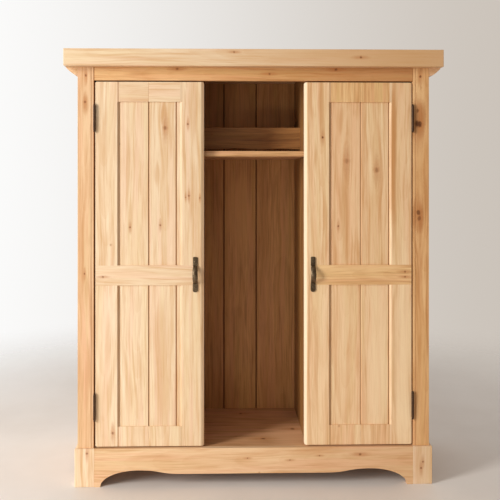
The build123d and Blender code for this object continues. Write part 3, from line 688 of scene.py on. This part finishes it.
FLOOR_RADIUS = 4.0
FLOOR_FADE = (1.2, 3.6)  # the floor is solid within the first distance and gone at the second


def floor():
    """A plain pale floor that fades out well away from the wardrobe."""
    mesh = bpy.data.meshes.new("floor")
    shape = bmesh.new()
    bmesh.ops.create_circle(shape, cap_ends=True, segments=96, radius=FLOOR_RADIUS)
    shape.to_mesh(mesh)
    shape.free()
    made = bpy.data.objects.new("floor", mesh)
    bpy.context.scene.collection.objects.link(made)
    g = Graph("pale_floor")
    place = g.place()
    mottle = g.noise(place, 1.7, 4.0, 0.6)[0]
    colour = g.mix(g.remap(mottle, 0.3, 0.7), srgb("E2DAD3"), srgb("E8E1DB"))
    g.feed(g.shader.inputs["Base Color"], colour)
    g.shader.inputs["Roughness"].default_value = 0.55
    away = g.node("ShaderNodeVectorMath", operation="LENGTH")
    g.feed(away.inputs[0], place)
    g.feed(g.shader.inputs["Alpha"], g.remap(away.outputs["Value"], *FLOOR_FADE, 1.0, 0.0))
    mesh.materials.append(g.material)


# A window-like light from the left front, and a weak one near the floor. Each has its place,
# the point it looks at, its width and height, its power and its colour.
LIGHTS = {
    "window": ((-5.1, -3.30, 2.6), (0.0, -0.25, 1.0), (1.5, 3.4), 348.0, (0.985, 0.97, 0.94)),
    "low_bounce": ((-1.5, -2.7, 0.22), (-0.1, -0.25, 0.5), (1.8, 0.4), 12.0, (1.0, 0.96, 0.91)),
}


def area_light(name, place, target, size, power, colour):
    """A rectangular soft light that looks at a point."""
    lamp = bpy.data.lights.new(name, "AREA")
    lamp.shape = "RECTANGLE"
    lamp.size, lamp.size_y = size
    lamp.energy = power
    lamp.color = colour
    made = bpy.data.objects.new(name, lamp)
    made.location = place
    made.rotation_euler = (Vector(target) - Vector(place)).to_track_quat("-Z", "Y").to_euler()
    bpy.context.scene.collection.objects.link(made)


# The colour of the air in front of the wardrobe and behind it, and what dims it to the right.
AIR_FRONT = (0.50, 0.495, 0.485, 1.0)
AIR_BEHIND = (0.99, 0.99, 0.985, 1.0)
AIR_RIGHT = (0.60, 0.545, 0.49, 1.0)
# The air's colour changes while a direction's Y, or its X, goes from one value to the other.
AIR_CHANGE_Y = (-0.15, 0.55)
AIR_CHANGE_X = (-0.45, 0.45)


def pale_air():
    """Air that is paler behind the wardrobe than in front of it, and dimmer to the right."""
    world = bpy.data.worlds.new("pale_air")
    world.use_nodes = True
    tree = world.node_tree
    air = tree.nodes["Background"]
    direction = tree.nodes.new("ShaderNodeTexCoord").outputs["Generated"]
    split = tree.nodes.new("ShaderNodeSeparateXYZ")
    tree.links.new(direction, split.inputs[0])
    blend = tree.nodes.new("ShaderNodeMapRange")
    blend.interpolation_type = "SMOOTHSTEP"
    for socket, value in zip(blend.inputs[1:5], (*AIR_CHANGE_Y, 0.0, 1.0)):
        socket.default_value = value
    tree.links.new(split.outputs["Y"], blend.inputs[0])
    shade = tree.nodes.new("ShaderNodeMix")
    shade.data_type = "RGBA"
    shade.inputs[6].default_value = AIR_FRONT
    shade.inputs[7].default_value = AIR_BEHIND
    tree.links.new(blend.outputs[0], shade.inputs[0])
    aside = tree.nodes.new("ShaderNodeMapRange")
    aside.interpolation_type = "SMOOTHSTEP"
    for socket, value in zip(aside.inputs[1:5], (*AIR_CHANGE_X, 0.0, 1.0)):
        socket.default_value = value
    tree.links.new(split.outputs["X"], aside.inputs[0])
    dim = tree.nodes.new("ShaderNodeMix")
    dim.data_type = "RGBA"
    dim.blend_type = "MULTIPLY"
    dim.inputs[7].default_value = AIR_RIGHT
    tree.links.new(aside.outputs[0], dim.inputs[0])
    tree.links.new(shade.outputs[2], dim.inputs[6])
    tree.links.new(dim.outputs[2], air.inputs["Color"])
    bpy.context.scene.world = world


# The viewing angle: level, a little left of the middle, turned slightly to the right.
EYE = (-0.138, -3.2415, 1.3335)
EYE_TURN = -1.279  # degrees about the vertical, so to the right
SENSOR_WIDTH = 36.0  # mm
FOCAL_LENGTH = 49.137  # mm
LENS_SHIFT = (0.024, -0.14)  # to the right and up, as shares of the picture's width


def camera():
    """A level camera whose lens is shifted, so that upright edges stay upright."""
    lens = bpy.data.cameras.new("camera")
    lens.lens = FOCAL_LENGTH
    lens.sensor_width = SENSOR_WIDTH
    lens.shift_x, lens.shift_y = LENS_SHIFT
    lens.clip_end = 60.0
    made = bpy.data.objects.new("camera", lens)
    made.location = EYE
    made.rotation_euler = (math.radians(90), 0.0, math.radians(EYE_TURN))
    bpy.context.scene.collection.objects.link(made)
    bpy.context.scene.camera = made


bpy.context.scene.view_settings.view_transform = "Standard"
camera()
pale_air()
for light_name, settings in LIGHTS.items():
    area_light(light_name, *settings)
floor()
paint_wood()
FINISHES = paint_fittings()
for door_side in ("left", "right"):
    pull(door_side, FINISHES["handle_iron"])
